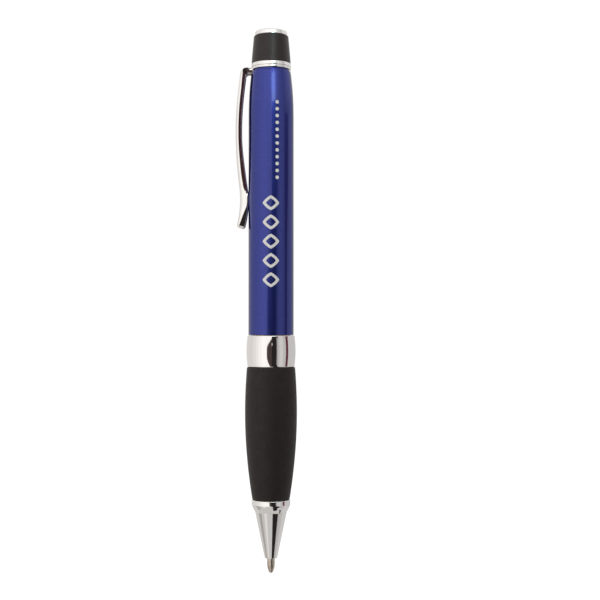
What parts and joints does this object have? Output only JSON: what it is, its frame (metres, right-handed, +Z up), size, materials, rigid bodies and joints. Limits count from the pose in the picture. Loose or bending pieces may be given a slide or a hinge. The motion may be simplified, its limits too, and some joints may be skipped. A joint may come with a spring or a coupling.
{
  "type": "retractable ballpoint pen",
  "caption": "Twist-action ballpoint pen with a rubber grip, metal bands, a spring clip and a refill that a helical cam draws in.",
  "frame": {"origin": "the lowest point of the writing ball with the point out, on the pen axis", "axes": "+Z runs up the pen axis from the writing point to the finial; -X points out to the clip"},
  "size_m": [0.0159, 0.0134, 0.14],
  "materials": {
    "chrome": "mirror chrome plate",
    "lacquer": "glossy metallic blue lacquer",
    "cap_plastic": "satin black",
    "grip_rubber": "matt soft-touch",
    "inner_plastic": "moulded, matt",
    "cam_plastic": "moulded acetal",
    "follower_plastic": "moulded acetal",
    "brass": "turned",
    "steel": "bright",
    "spring_steel": "drawn wire",
    "tip_metal": "nickel silver, turned",
    "ink": "paste, wet",
    "grease": "gel",
    "plug_plastic": "moulded",
    "seal_rubber": "matt"
  },
  "bodies": {
    "grip_section": {"nose_cone": "chrome", "lower_barrel": "brass", "grip_sleeve": "grip_rubber", "centre_band": "chrome", "coupler": "brass", "mech_housing": "inner_plastic", "retaining_ring": "steel", "friction_ring": "seal_rubber", "return_spring": "spring_steel"},
    "upper_section": {"upper_barrel": "lacquer", "barrel_bush": "inner_plastic", "cam_sleeve": "cam_plastic", "top_bush": "inner_plastic", "clip_tang": "chrome", "clip_ring": "chrome", "cap_ring": "chrome", "end_cap": "cap_plastic", "cap_screw": "steel", "finial_disc": "chrome"},
    "clip_arm": {"clip": "chrome"},
    "refill": {"refill_tube": "steel", "refill_tip": "tip_metal", "ink_column": "ink", "grease_plug": "grease", "refill_plug": "plug_plastic", "follower": "follower_plastic", "cross_pin": "steel"},
    "writing_ball": {"ball": "steel"}
  },
  "joints": [
    {"name": "barrel_twist", "type": "hinge", "parent": "grip_section", "child": "upper_section", "pos_m": [0, 0, 0.0612], "axis": [0, 0, 1], "range_deg": [0, 150]},
    {"name": "refill_slide", "type": "slide", "parent": "grip_section", "child": "refill", "axis": [0, 0, 1], "range_m": [0, 0.0055], "deforming": ["return_spring"]},
    {"name": "clip_flex", "type": "hinge", "parent": "upper_section", "child": "clip_arm", "pos_m": [-0.00574, 0, 0.12941], "axis": [0, 1, 0], "range_deg": [0, 4], "stiffness_Nm_per_rad": 2},
    {"name": "ball_roll", "type": "hinge", "parent": "refill", "child": "writing_ball", "pos_m": [0, 0, 0.0005], "axis": [1, 0, 0], "continuous": true}
  ],
  "couplings": [
    {"joint": "barrel_twist", "follows": "refill_slide", "rad_per_m": 475.99}
  ]
}
